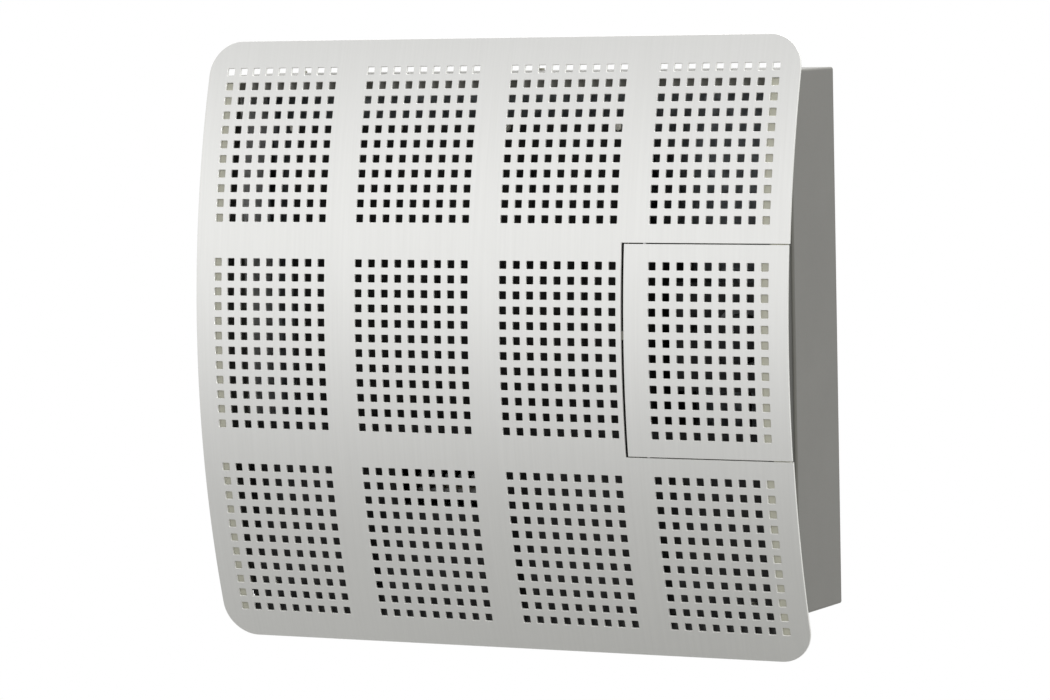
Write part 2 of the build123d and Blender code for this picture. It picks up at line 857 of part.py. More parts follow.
def flue_baffle():
    """A bent plate over the flame that turns the hot gas outwards."""
    z = chamber_bottom + baffle_above_bottom
    outline = Polyline((chamber_centre_x - baffle_half_width, z),
                       (chamber_centre_x, z + baffle_rise),
                       (chamber_centre_x + baffle_half_width, z),
                       (chamber_centre_x + baffle_half_width, z - baffle_sheet),
                       (chamber_centre_x, z + baffle_rise - baffle_sheet),
                       (chamber_centre_x - baffle_half_width, z - baffle_sheet), close=True)
    depth = chamber_depth - chamber_sheet - baffle_front_gap
    back = chamber_back - chamber_sheet
    return extrude(Plane.XZ.offset(-back) * make_face(outline), depth)


def burner():
    """A slotted bar burner whose open end passes out through the chamber's right wall."""
    left = chamber_left + chamber_sheet + burner_left_gap
    right = chamber_right + burner_outside_length
    body = rod((left, port_y, burner_z), (right, port_y, burner_z), burner_radius)
    body -= rod((left + burner_wall, port_y, burner_z), (right, port_y, burner_z),
                burner_radius - burner_wall)
    port = Box(burner_port_width, burner_port_length, burner_radius)
    centre = (left + chamber_right) / 2
    ports = [Pos(centre + (place - (burner_ports - 1) / 2) * burner_port_pitch, port_y,
                 burner_z + burner_radius) * port for place in range(burner_ports)]
    return body.cut(*ports)


def burner_cradles():
    cradles = []
    for x in (chamber_left + cradle_inset, chamber_right - cradle_inset):
        plate = block(x, x + chamber_sheet, port_y - cradle_width / 2, port_y + cradle_width / 2,
                      chamber_bottom + chamber_sheet, burner_z)
        seat = rod((x, port_y, burner_z), (x + chamber_sheet, port_y, burner_z),
                   burner_radius + sheet_gap)
        cradles.append(plate - seat)
    return Compound(cradles)


def injector_bracket():
    """A bracket on the chamber's side that holds the gas injector in line with the burner."""
    half_height = injector_bracket_height / 2
    half_width = injector_bracket_width / 2
    bracket = block(chamber_right, injector_plate_x, port_y - half_width, port_y + half_width,
                    burner_z - half_height, burner_z + half_height)
    bracket -= block(chamber_right, injector_plate_x - bracket_sheet,
                     port_y - half_width, port_y + half_width,
                     burner_z - half_height + bracket_sheet, burner_z + half_height - bracket_sheet)
    return bracket - rod((chamber_right, port_y, burner_z), (injector_plate_x, port_y, burner_z),
                         injector_radius + running_clearance)


def injector_hex_end():
    return injector_plate_x + injector_hex / 2


def gas_injector():
    tip = chamber_right + burner_outside_length - injector_radius
    nozzle = rod((tip, port_y, burner_z), (injector_plate_x, port_y, burner_z), injector_radius)
    nut = hex_bar((injector_plate_x, port_y, burner_z), (injector_hex_end(), port_y, burner_z),
                  injector_hex)
    jet = rod((tip, port_y, burner_z), (injector_plate_x, port_y, burner_z), injector_jet_radius)
    return nozzle + nut - jet


def pilot_rods():
    """Depth and radius of the pilot burner, the thermocouple and the electrode."""
    return [(port_y, pilot_radius), (port_y - pilot_row_pitch, thermocouple_radius),
            (port_y + pilot_row_pitch, electrode_radius)]


def pilot_plate_end():
    return chamber_right + pilot_plate_sheet


def pilot_plate():
    reach = 2 * pilot_row_pitch
    plate = block(chamber_right, pilot_plate_end(), port_y - reach, port_y + reach,
                  pilot_z - pilot_plate_height / 2, pilot_z + pilot_plate_height / 2)
    for y, radius in pilot_rods():
        plate -= rod((chamber_right, y, pilot_z), (pilot_plate_end(), y, pilot_z),
                     radius + running_clearance)
    return plate


def pilot_tail_end():
    return pilot_plate_end() + pilot_tail


def pilot_burner():
    tip = chamber_right - pilot_reach
    body = rod((tip, port_y, pilot_z), (pilot_tail_end(), port_y, pilot_z), pilot_radius)
    inner_radius = pilot_radius - pilot_wall
    body -= rod((tip, port_y, pilot_z), (tip + pilot_hood_length, port_y, pilot_z), inner_radius)
    return body - block(tip + pilot_wall, tip + pilot_hood_length - pilot_wall,
                        port_y - pilot_radius, port_y, pilot_z - pilot_wall, pilot_z + pilot_wall)


def thermocouple():
    y = port_y - pilot_row_pitch
    tip = chamber_right - pilot_reach
    return rod((tip, y, pilot_z), (pilot_tail_end(), y, pilot_z), thermocouple_radius)


def ignition_electrode():
    y = port_y + pilot_row_pitch
    tip = chamber_right - pilot_reach
    ceramic = rod((tip + pilot_tail, y, pilot_z), (pilot_tail_end(), y, pilot_z), electrode_radius)
    return ceramic + rod((tip, y, pilot_z), (tip + pilot_tail, y, pilot_z), electrode_tip_radius)


def stop_bead(radius):
    """A raised bead round a spigot, just behind the wall's face, that a duct is pushed up to."""
    return tube((chamber_centre_x, bead_from_wall, flue_z),
                (chamber_centre_x, bead_from_wall + bead_length, flue_z), radius + bead_height,
                bead_height + air_wall / 2)


def flue_spigot():
    start = chamber_back - chamber_sheet
    spigot = tube((chamber_centre_x, start, flue_z), (chamber_centre_x, flue_beyond_wall, flue_z),
                  flue_radius, flue_wall)
    collar = tube((chamber_centre_x, start - flue_wall, flue_z), (chamber_centre_x, start, flue_z),
                  flue_radius + flue_flange, flue_flange + flue_wall)
    return spigot + collar + stop_bead(flue_radius)


def air_spigot():
    spigot = tube((chamber_centre_x, air_flange_front, flue_z),
                  (chamber_centre_x, air_beyond_wall, flue_z), air_radius, air_wall)
    collar = tube((chamber_centre_x, air_flange_front, flue_z),
                  (chamber_centre_x, air_flange_back, flue_z), air_radius + air_flange,
                  air_flange + air_wall)
    return spigot + collar + stop_bead(air_radius)


def flue_gasket():
    return tube((chamber_centre_x, air_flange_back, flue_z), (chamber_centre_x, plate_front, flue_z),
                air_radius + air_flange, air_flange - bead_height - bond_gap)


def air_duct():
    """A flat duct behind the chamber, from the outer spigot down to the chamber's air slot."""
    left = chamber_centre_x - duct_half_width
    right = chamber_centre_x + duct_half_width
    bottom = chamber_bottom + duct_bottom_above_chamber
    top = flue_z + duct_top_above_flue
    duct = block(left, right, chamber_back, air_flange_front, bottom, top)
    duct -= block(left + duct_wall, right - duct_wall, chamber_back, air_flange_front - duct_wall,
                  bottom + duct_wall, top - duct_wall)
    return duct - rod((chamber_centre_x, chamber_back, flue_z), (chamber_centre_x, 0, flue_z),
                      air_radius - air_wall)


def chamber_stands():
    """Four folded stands between the chamber's back and the wall plate."""
    stands = []
    reach_x = (duct_half_width + chamber_width / 2) / 2
    reach_z = chamber_height / 2 - 2 * chamber_flange
    middle = (chamber_bottom + chamber_top) / 2
    for x in (chamber_centre_x - reach_x, chamber_centre_x + reach_x):
        for z in (middle - reach_z, middle + reach_z):
            half = plate_flange
            stand = block(x - half, x + half, chamber_back, plate_front, z, z + plate_flange)
            stand -= block(x - half, x + half, chamber_back + plate_sheet, plate_front - plate_sheet,
                           z + plate_sheet, z + plate_flange)
            stands.append(stand)
    return Compound(stands)


def control_bracket():
    """A folded bracket on the wall plate that carries the gas valve and the igniter."""
    z_min, z_max = bracket_bottom, bracket_top
    bracket = block(bracket_left, bracket_right, bracket_front, plate_front, z_min, z_max)
    bracket -= block(bracket_left + bracket_sheet, bracket_right - bracket_sheet, bracket_back,
                     plate_front, z_min, z_max)
    for left in (bracket_left, bracket_right - bracket_foot):
        bracket += block(left, left + bracket_foot, plate_front - bracket_sheet, plate_front,
                         z_min, z_max)
    bracket -= rod((control_x, bracket_front, control_z), (control_x, bracket_back, control_z),
                   spindle_radius + 2 * hole_clearance)
    return bracket - rod((igniter_x, bracket_front, igniter_z), (igniter_x, bracket_back, igniter_z),
                         igniter_radius + hole_clearance)


def gas_valve():
    body = block(control_x - valve_width / 2, control_x + valve_width / 2, bracket_back,
                 bracket_back + valve_depth, valve_bottom, valve_bottom + valve_height)
    body = fillet(body.edges().filter_by(Axis.Y), valve_edge)
    bore_end = bracket_back + spindle_in_valve + spindle_travel + spindle_radius
    return body - rod((control_x, bracket_back, control_z), (control_x, bore_end, control_z),
                      spindle_radius + running_clearance)


def valve_spindle():
    back = bracket_back + spindle_in_valve
    return rod((control_x, back - spindle_length, control_z), (control_x, back, control_z),
               spindle_radius)


def knob_limits():
    """Front and back faces of the knob: it clears the dial by more than the spindle's travel."""
    back = dial_front - spindle_travel - knob_spare_travel
    return back - knob_length, back


def thermostat_knob():
    front, back = knob_limits()
    knob = rod((control_x, front, control_z), (control_x, back, control_z), knob_radius)
    knob = chamfer(knob.edges().group_by(Axis.Y)[0], knob_grip_depth)
    grips = []
    for place in range(knob_grip_count):
        angle = 2 * math.pi * place / knob_grip_count
        x = control_x + knob_radius * math.cos(angle)
        z = control_z + knob_radius * math.sin(angle)
        grips.append(rod((x, front, z), (x, back - 2 * knob_grip_depth, z), knob_grip_depth))
    grips.append(valve_bore_in_knob())
    return knob.cut(*grips)


def valve_bore_in_knob():
    front, back = knob_limits()
    depth = bracket_back + spindle_in_valve - spindle_length
    return rod((control_x, depth - bond_gap, control_z), (control_x, back, control_z),
               spindle_radius + running_clearance)


def knob_pointer():
    """A raised line on the knob's face that points at the dial's marks."""
    front, back = knob_limits()
    return block(control_x - knob_grip_depth / 2, control_x + knob_grip_depth / 2,
                 front - pointer_height, front,
                 control_z + pointer_inner_end, control_z + pointer_outer_end)


def dial_plate():
    """A plain dial behind the knob with a notch for each setting."""
    dial = tube((control_x, dial_front, control_z), (control_x, bracket_front, control_z),
                dial_radius, dial_radius - spindle_radius - 2 * hole_clearance)
    notches = []
    for place in range(dial_mark_count):
        turn = Rot(0, -dial_sweep * place / (dial_mark_count - 1), 0)
        notch = Box(knob_grip_depth, dial_sheet, 2 * knob_grip_depth)
        notches.append(Pos(control_x, dial_front, control_z) * turn
                       * Pos(0, 0, dial_radius - dial_mark_inset) * notch)
    return dial.cut(*notches)


def igniter_back():
    return bracket_front + igniter_length


def igniter_body():
    body = rod((igniter_x, bracket_front, igniter_z), (igniter_x, igniter_back(), igniter_z),
               igniter_radius)
    flange = rod((igniter_x, bracket_front - igniter_flange, igniter_z),
                 (igniter_x, bracket_front, igniter_z), igniter_radius + igniter_flange)
    front = bracket_front - igniter_flange
    bore = rod((igniter_x, front, igniter_z),
               (igniter_x, front + button_in_body + button_travel + igniter_flange, igniter_z),
               button_radius + running_clearance)
    return body + flange - bore


def igniter_button():
    back = bracket_front - igniter_flange + button_in_body
    button = rod((igniter_x, back - button_length, igniter_z), (igniter_x, back, igniter_z),
                 button_radius)
    return fillet(button.edges().group_by(Axis.Y)[0], button_edge)


def gas_inlet_pipe():
    """The gas inlet, with a bead that stops the supply pipe's fitting."""
    bead_bottom = gas_pipe_end + inlet_free_length
    whole = tube((inlet_pipe_x, port_y, gas_pipe_end), (inlet_pipe_x, port_y, valve_bottom),
                 inlet_pipe_radius, inlet_pipe_wall)
    return whole + tube((inlet_pipe_x, port_y, bead_bottom),
                        (inlet_pipe_x, port_y, bead_bottom + bead_length / 2),
                        inlet_pipe_radius + bead_height, bead_height + inlet_pipe_wall / 2)


def pipe_nuts():
    """Compression nuts where the pipes enter the valve."""
    nuts = []
    for x, radius, flats in ((inlet_pipe_x, inlet_pipe_radius, inlet_nut_flats),
                             (burner_pipe_x, burner_pipe_radius, injector_hex),
                             (pilot_pipe_x, pilot_pipe_radius, bolt_flats)):
        height = flats * inlet_nut_height / inlet_nut_flats
        nut = hex_bar((x, port_y, valve_bottom - height), (x, port_y, valve_bottom), flats)
        nuts.append(nut - rod((x, port_y, valve_bottom - height), (x, port_y, valve_bottom),
                              radius + running_clearance))
    return Compound(nuts)


def grommet_neck_radius():
    return inlet_pipe_radius + bond_gap + grommet_wall


def pipe_grommet():
    low = casing_bottom - grommet_lip
    high = casing_bottom + casing_sheet + grommet_lip
    grommet = rod((inlet_pipe_x, port_y, low), (inlet_pipe_x, port_y, high),
                  grommet_neck_radius() + grommet_lip)
    groove = tube((inlet_pipe_x, port_y, casing_bottom - running_clearance),
                  (inlet_pipe_x, port_y, casing_bottom + casing_sheet + running_clearance),
                  grommet_neck_radius() + 2 * grommet_lip, 2 * grommet_lip)
    bore = rod((inlet_pipe_x, port_y, low), (inlet_pipe_x, port_y, high),
               inlet_pipe_radius + bond_gap)
    return grommet - groove - bore


def burner_supply_pipe():
    return pipe([(burner_pipe_x, port_y, valve_bottom), (burner_pipe_x, port_y, burner_z),
                 (injector_hex_end(), port_y, burner_z)], pipe_bend, burner_pipe_radius)


def pilot_pipe():
    return pipe([(pilot_pipe_x, port_y, valve_bottom), (pilot_pipe_x, port_y, pilot_z),
                 (pilot_tail_end(), port_y, pilot_z)], pipe_bend, pilot_pipe_radius)


def thermocouple_lead():
    y = port_y - pilot_row_pitch
    return pipe([(thermocouple_lead_x, y, valve_bottom), (thermocouple_lead_x, y, pilot_z),
                 (pilot_tail_end(), y, pilot_z)], pipe_bend, thermocouple_lead_radius)


def igniter_lead():
    y = port_y + pilot_row_pitch
    return pipe([(igniter_x, igniter_back(), igniter_z), (igniter_x, -igniter_lead_depth, igniter_z),
                 (igniter_x, -igniter_lead_depth, pilot_z), (igniter_x - 2 * pilot_tail, y, pilot_z),
                 (pilot_tail_end(), y, pilot_z)], lead_bend, igniter_lead_radius)


def thermostat_bulb():
    """The liquid-filled bulb low in the casing and its fine tube up to the valve."""
    y = -bulb_depth
    z = casing_bottom + bulb_above_casing_bottom
    end = bulb_left + bulb_length
    bulb = rod((bulb_left, y, z), (end, y, z), bulb_radius)
    capillary = pipe([(end - bulb_radius, y, z), (capillary_x, y, z), (capillary_x, y, control_z),
                      (control_x + valve_width / 2, y, control_z)], lead_bend / 2, capillary_radius)
    return bulb + capillary


def bulb_brackets():
    brackets = []
    z = casing_bottom + bulb_above_casing_bottom
    half = bulb_radius + bulb_bracket_margin
    first = bulb_left + bulb_bracket_from_end
    for x in (first, first + bulb_bracket_spacing):
        plate = block(x, x + bracket_sheet, -bulb_depth - half, plate_front, z - half, z + half)
        foot = block(x, x + bracket_foot, plate_front - bracket_sheet, plate_front, z - half, z + half)
        hole = rod((x, -bulb_depth, z), (x + bracket_sheet, -bulb_depth, z),
                   bulb_radius + running_clearance)
        brackets.append(plate + foot - hole)
    return Compound(brackets)


def control_heat_shield():
    """An upright sheet that keeps the chamber's heat off the controls."""
    sheet = block(shield_x, shield_x + shield_sheet, -shield_front_depth, plate_front,
                  shield_bottom, shield_top)
    foot = block(shield_x, shield_x + shield_foot, plate_front - shield_sheet, plate_front,
                 shield_bottom, shield_top)
    return sheet + foot


sub_parts = {
    "front_panel": front_panel,
    "left_edge_strip": left_edge_strip,
    "right_edge_strips": right_edge_strips,
    "left_side_rail": left_side_rail,
    "right_side_rail": right_side_rail,
    "lower_cross_rail": lower_cross_rail,
    "lower_front_plate": lower_front_plate,
    "panel_screws": panel_screws,
    "casing": casing,
    "casing_screws": casing_screws,
    "wall_plate": wall_plate,
    "door_panel": door_panel,
    "door_edge_strip": door_edge_strip,
    "door_hinge_leaves": door_hinge_leaves,
    "hinge_brackets": hinge_brackets,
    "hinge_pins": hinge_pins,
    "door_catch": door_catch,
    "catch_magnet": catch_magnet,
    "combustion_chamber": combustion_chamber,
    "chamber_gasket": chamber_gasket,
    "chamber_cover": chamber_cover,
    "cover_bolts": cover_bolts,
    "sight_glass": sight_glass,
    "glass_gasket": glass_gasket,
    "glass_frame": glass_frame,
    "glass_frame_screws": glass_frame_screws,
    "flue_baffle": flue_baffle,
    "burner": burner,
    "burner_cradles": burner_cradles,
    "injector_bracket": injector_bracket,
    "gas_injector": gas_injector,
    "pilot_plate": pilot_plate,
    "pilot_burner": pilot_burner,
    "thermocouple": thermocouple,
    "ignition_electrode": ignition_electrode,
    "flue_spigot": flue_spigot,
    "air_spigot": air_spigot,
    "flue_gasket": flue_gasket,
    "air_duct": air_duct,
    "chamber_stands": chamber_stands,
    "control_bracket": control_bracket,
    "gas_valve": gas_valve,
    "valve_spindle": valve_spindle,
    "thermostat_knob": thermostat_knob,
    "knob_pointer": knob_pointer,
    "dial_plate": dial_plate,
    "igniter_body": igniter_body,
    "igniter_button": igniter_button,
    "gas_inlet_pipe": gas_inlet_pipe,
    "pipe_nuts": pipe_nuts,
    "pipe_grommet": pipe_grommet,
    "burner_supply_pipe": burner_supply_pipe,
    "pilot_pipe": pilot_pipe,
    "thermocouple_lead": thermocouple_lead,
    "igniter_lead": igniter_lead,
    "thermostat_bulb": thermostat_bulb,
    "bulb_brackets": bulb_brackets,
    "control_heat_shield": control_heat_shield,
}

os.makedirs("parts", exist_ok=True)
for name, make in sub_parts.items():
    export_step(make(), f"parts/{name}.step", write_pcurves=False)
    print(name)
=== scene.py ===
import json
import math

import bmesh
import bpy
from mathutils import Matrix, Vector

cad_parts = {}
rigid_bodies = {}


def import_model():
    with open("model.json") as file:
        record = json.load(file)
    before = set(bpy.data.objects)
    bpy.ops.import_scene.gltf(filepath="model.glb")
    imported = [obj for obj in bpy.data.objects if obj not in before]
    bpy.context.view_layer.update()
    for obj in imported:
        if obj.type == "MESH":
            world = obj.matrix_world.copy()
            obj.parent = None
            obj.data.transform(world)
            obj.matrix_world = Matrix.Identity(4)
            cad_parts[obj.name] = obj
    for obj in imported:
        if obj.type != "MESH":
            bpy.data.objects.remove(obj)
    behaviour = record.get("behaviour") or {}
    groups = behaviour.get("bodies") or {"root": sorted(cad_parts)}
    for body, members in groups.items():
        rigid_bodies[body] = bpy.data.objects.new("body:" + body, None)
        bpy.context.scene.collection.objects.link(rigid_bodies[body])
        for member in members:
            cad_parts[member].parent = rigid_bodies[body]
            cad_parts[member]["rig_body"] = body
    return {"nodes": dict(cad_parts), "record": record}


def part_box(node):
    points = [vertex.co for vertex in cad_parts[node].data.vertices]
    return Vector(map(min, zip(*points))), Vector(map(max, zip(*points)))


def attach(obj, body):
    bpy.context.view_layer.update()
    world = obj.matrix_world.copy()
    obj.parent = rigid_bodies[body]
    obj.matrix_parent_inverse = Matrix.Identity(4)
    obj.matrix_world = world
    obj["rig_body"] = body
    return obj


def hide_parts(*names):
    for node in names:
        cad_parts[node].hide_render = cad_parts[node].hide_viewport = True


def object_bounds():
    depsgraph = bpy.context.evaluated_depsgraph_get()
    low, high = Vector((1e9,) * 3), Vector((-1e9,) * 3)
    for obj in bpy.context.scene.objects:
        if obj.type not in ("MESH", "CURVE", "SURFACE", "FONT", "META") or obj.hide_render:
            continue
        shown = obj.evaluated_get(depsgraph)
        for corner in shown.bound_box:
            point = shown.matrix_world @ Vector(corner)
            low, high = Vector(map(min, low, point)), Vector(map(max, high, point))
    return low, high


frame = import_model()
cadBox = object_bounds()
nodes = frame["nodes"]
mm = 0.001
sharpAngle = 35  # an edge stays sharp where its faces turn by more degrees than this
print("frame loaded:", len(nodes), "nodes")


# Materials

def colour(hexValue):  # sRGB hex to linear
    channels = [int(hexValue[i:i + 2], 16) / 255 for i in (1, 3, 5)]
    return [c / 12.92 if c <= 0.04045 else ((c + 0.055) / 1.055) ** 2.4 for c in channels] + [1.0]


def addNode(tree, kind, settings=None, links=None):  # one node with its settings and links
    node = tree.nodes.new(kind)
    for name, value in (settings or {}).items():
        if isinstance(name, int) or name in node.inputs:
            node.inputs[name].default_value = value
        else:
            setattr(node, name, value)
    for name, source in (links or {}).items():
        tree.links.new(source, node.inputs[name])
    return node


def newMaterial(name):
    material = bpy.data.materials.new(name)
    material.use_nodes = True
    material.node_tree.nodes.clear()
    return material, material.node_tree


noise = {"low": 0.3, "high": 0.7,  # most of a noise's values lie between these
         "roughness": 0.55, "toneDetail": 3.0, "fineDetail": 2.0}


def inGrains(tree, size):  # object coordinates counted in grains of this size in mm along X, Y and Z
    place = addNode(tree, "ShaderNodeTexCoord")
    return addNode(tree, "ShaderNodeMapping", {"Scale": [1 / (length * mm) for length in size]},
                   {"Vector": place.outputs["Object"]}).outputs["Vector"]


def grain(tree, size, detail):  # noise with grains of this size
    settings = {"Scale": 1.0, "Detail": detail, "Roughness": noise["roughness"]}
    return addNode(tree, "ShaderNodeTexNoise", settings, {"Vector": inGrains(tree, size)}).outputs["Fac"]


def spread(low, high):  # settings that take a noise's usual values to this range
    return {"From Min": noise["low"], "From Max": noise["high"], "To Min": low, "To Max": high}


def twoTone(tree, factor, first, second):  # one colour to the other as the factor rises
    ramp = addNode(tree, "ShaderNodeValToRGB", {}, {"Fac": factor})
    ends = ((noise["low"], first), (noise["high"], second))
    for element, (place, tone) in zip(ramp.color_ramp.elements, ends):
        element.position = place
        element.color = colour(tone)
    return ramp.outputs["Color"]


def fineBump(tree, look, height):  # the surface's own fine relief
    return addNode(tree, "ShaderNodeBump", {"Strength": look["bump"], "Distance": look["height"] * mm},
                   {"Height": height}).outputs["Normal"]


def finishMaterial(name, look):  # mottled colour and roughness, and a fine bump
    material, tree = newMaterial(name)
    tone = grain(tree, look["tone"], noise["toneDetail"])
    fine = grain(tree, look["fine"], noise["fineDetail"])
    roughness = addNode(tree, "ShaderNodeMapRange", spread(*look["roughness"]), {"Value": fine})
    base = twoTone(tree, tone, *look["colours"])
    if "paintedLightInsideColours" in look:  # faces marked inside get near-white colours: painted light, standing in for light that reaches inside the box
        inside = addNode(tree, "ShaderNodeAttribute", {"attribute_name": "inside"})
        base = addNode(tree, "ShaderNodeMix", {"data_type": "RGBA"},
                       {0: inside.outputs["Fac"], 6: base,
                        7: twoTone(tree, tone, *look["paintedLightInsideColours"])}).outputs[2]
    shader = addNode(tree, "ShaderNodeBsdfPrincipled",
                     {"Metallic": look.get("metallic", 0.0), **look.get("shader", {})},
                     {"Base Color": base, "Roughness": roughness.outputs["Result"],
                      "Normal": fineBump(tree, look, fine)})
    addNode(tree, "ShaderNodeOutputMaterial", {}, {"Surface": shader.outputs["BSDF"]})
    return material


def spangleMaterial(name, look):  # each crystal has its own grey and its own gloss
    material, tree = newMaterial(name)
    crystals = addNode(tree, "ShaderNodeTexVoronoi", {"Scale": 1.0},
                       {"Vector": inGrains(tree, look["crystal"])})
    split = addNode(tree, "ShaderNodeSeparateColor", {}, {"Color": crystals.outputs["Color"]})
    roughness = addNode(tree, "ShaderNodeMapRange", spread(*look["roughness"]),
                        {"Value": split.outputs["Green"]})
    shader = addNode(tree, "ShaderNodeBsdfPrincipled", {"Metallic": 1.0},
                     {"Base Color": twoTone(tree, split.outputs["Red"], *look["colours"]),
                      "Roughness": roughness.outputs["Result"]})
    addNode(tree, "ShaderNodeOutputMaterial", {}, {"Surface": shader.outputs["BSDF"]})
    return material


def brushedMaterial(name, look):  # fine upright lines; faces marked cutEdge are pale sheared metal
    material, tree = newMaterial(name)
    tone = grain(tree, look["tone"], noise["toneDetail"])
    fine = grain(tree, look["fine"], noise["fineDetail"])
    cut = addNode(tree, "ShaderNodeAttribute", {"attribute_name": "cutEdge"})
    shade = addNode(tree, "ShaderNodeMix", {"data_type": "RGBA", 7: colour(look["cutColour"])},
                    {0: cut.outputs["Fac"], 6: twoTone(tree, tone, *look["colours"])})
    metallic = addNode(tree, "ShaderNodeMapRange", {"To Min": 1.0, "To Max": look["cutMetallic"]},
                       {"Value": cut.outputs["Fac"]})
    brushed = addNode(tree, "ShaderNodeMapRange", spread(*look["roughness"]), {"Value": fine})
    roughness = addNode(tree, "ShaderNodeMath", {"operation": "MULTIPLY_ADD", 1: look["cutRoughness"]},
                        {0: cut.outputs["Fac"], 2: brushed.outputs["Result"]})
    around = addNode(tree, "ShaderNodeTangent", {"direction_type": "RADIAL", "axis": "X"})
    shader = addNode(tree, "ShaderNodeBsdfPrincipled", {"Anisotropic": look["anisotropy"]},
                     {"Base Color": shade.outputs[2], "Metallic": metallic.outputs["Result"],
                      "Roughness": roughness.outputs[0], "Normal": fineBump(tree, look, fine),
                      "Tangent": around.outputs["Tangent"]})
    addNode(tree, "ShaderNodeOutputMaterial", {}, {"Surface": shader.outputs["BSDF"]})
    return material


finishes = {
    # cream polyester powder coat on steel: warm, pale and slightly orange-peeled
    "cream_paint": {"colours": ("#b3b2a4", "#b8b7a9"), "roughness": (0.42, 0.5), "tone": (60, 60, 60),
                    "fine": (1.4, 1.4, 1.4), "bump": 0.08, "height": 0.05},
    # warm grey powder coat with a soft sheen; inside the box the faces are painted near white, a painted
    # light for the light that reaches in there
    "warm_grey_paint": {"colours": ("#6f6e68", "#73726c"), "roughness": (0.28, 0.36), "tone": (80, 80, 80),
                        "fine": (1.4, 1.4, 1.4), "bump": 0.08, "height": 0.05,
                        "paintedLightInsideColours": ("#ececea", "#f0f0ee")},
    # grey powder coat on the side rails, darkened a few shades as painted shade, so that they show as a dark
    # crescent behind the panel
    "grey_paint": {"colours": ("#53534f", "#5b5b57"), "roughness": (0.42, 0.5), "tone": (50, 50, 50),
                   "fine": (1.4, 1.4, 1.4), "bump": 0.08, "height": 0.05},
    # near-black powder coat with a low sheen, dark grey to the eye
    "black_paint": {"colours": ("#303030", "#383838"), "roughness": (0.4, 0.5), "tone": (40, 40, 40),
                    "fine": (1.0, 1.0, 1.0), "bump": 0.12, "height": 0.05},
    # stove enamel that has seen heat: dead matt with paler clouds
    "heat_black": {"colours": ("#191918", "#23221f"), "roughness": (0.65, 0.8), "tone": (35, 35, 35),
                   "fine": (0.8, 0.8, 0.8), "bump": 0.2, "height": 0.06},
    # bright zinc plate with a trace of yellow
    "zinc_steel": {"colours": ("#b9b8ae", "#c9c7bb"), "metallic": 1.0, "roughness": (0.28, 0.38),
                   "tone": (3, 3, 3), "fine": (0.5, 0.5, 0.5), "bump": 0.05, "height": 0.02},
    # ground steel pin stock
    "bright_steel": {"colours": ("#c4c4c6", "#d0d0d2"), "metallic": 1.0, "roughness": (0.15, 0.25),
                     "tone": (4, 4, 0.6), "fine": (3, 3, 0.3), "bump": 0.04, "height": 0.01},
    # stainless that the flame has tinted straw to brown
    "heat_steel": {"colours": ("#8a7a62", "#5d5a58"), "metallic": 1.0, "roughness": (0.35, 0.5),
                   "tone": (30, 30, 30), "fine": (0.8, 0.8, 0.8), "bump": 0.1, "height": 0.03},
    # drawn aluminium tube with faint lines round it
    "flue_aluminium": {"colours": ("#c8cacc", "#d6d8da"), "metallic": 1.0, "roughness": (0.32, 0.42),
                       "tone": (20, 20, 20), "fine": (30, 0.6, 30), "bump": 0.06, "height": 0.02},
    # die-cast aluminium: fine grit and a dull skin
    "cast_aluminium": {"colours": ("#a8aaac", "#b8babc"), "metallic": 1.0, "roughness": (0.45, 0.55),
                       "tone": (12, 12, 12), "fine": (0.5, 0.5, 0.5), "bump": 0.25, "height": 0.05},
    # turned brass
    "brass": {"colours": ("#c9a24e", "#d8b460"), "metallic": 1.0, "roughness": (0.2, 0.3),
              "tone": (5, 5, 5), "fine": (4, 4, 0.3), "bump": 0.05, "height": 0.01},
    # bent copper tube with the first brown of handling
    "copper": {"colours": ("#b5714f", "#c98360"), "metallic": 1.0, "roughness": (0.28, 0.4),
               "tone": (14, 14, 14), "fine": (1.0, 1.0, 1.0), "bump": 0.04, "height": 0.02},
    # glazed alumina insulator
    "ceramic": {"colours": ("#e6e2d8", "#efece4"), "roughness": (0.15, 0.25), "tone": (6, 6, 6),
                "fine": (0.6, 0.6, 0.6), "bump": 0.03, "height": 0.02},
    # pressed mineral fibre
    "fibre_gasket": {"colours": ("#cfccc0", "#dedbd0"), "roughness": (0.85, 0.95), "tone": (5, 5, 5),
                     "fine": (0.6, 3.0, 0.6), "bump": 0.6, "height": 0.1},
    # moulded ABS with a spark-eroded grain
    "black_plastic": {"colours": ("#1c1c1d", "#232324"), "roughness": (0.42, 0.52), "tone": (20, 20, 20),
                      "fine": (0.35, 0.35, 0.35), "bump": 0.2, "height": 0.03},
    "white_plastic": {"colours": ("#dedede", "#e6e6e6"), "roughness": (0.4, 0.5), "tone": (9, 9, 9),
                      "fine": (0.35, 0.35, 0.35), "bump": 0.1, "height": 0.02},
    "grey_plastic": {"colours": ("#8d8f91", "#959799"), "roughness": (0.42, 0.52), "tone": (16, 16, 16),
                     "fine": (0.35, 0.35, 0.35), "bump": 0.15, "height": 0.02},
    # sintered ferrite
    "magnet": {"colours": ("#2c2c2e", "#38383a"), "roughness": (0.5, 0.65), "tone": (3, 3, 3),
               "fine": (0.4, 0.4, 0.4), "bump": 0.3, "height": 0.03},
    # moulded EPDM
    "rubber": {"colours": ("#181818", "#202020"), "roughness": (0.7, 0.82), "tone": (10, 10, 10),
               "fine": (0.5, 0.5, 0.5), "bump": 0.15, "height": 0.03},
    # extruded silicone sleeve
    "lead_insulation": {"colours": ("#1d1b1b", "#262323"), "roughness": (0.5, 0.6), "tone": (12, 12, 12),
                        "fine": (0.6, 0.6, 0.6), "bump": 0.06, "height": 0.02},
    # toughened glass with a trace of dust
    "sight_glass": {"colours": ("#e8eeec", "#f0f4f3"), "roughness": (0.03, 0.09), "tone": (25, 25, 25),
                    "fine": (6, 6, 6), "bump": 0.01, "height": 0.01,
                    "shader": {"Transmission Weight": 1.0, "IOR": 1.5}},
}
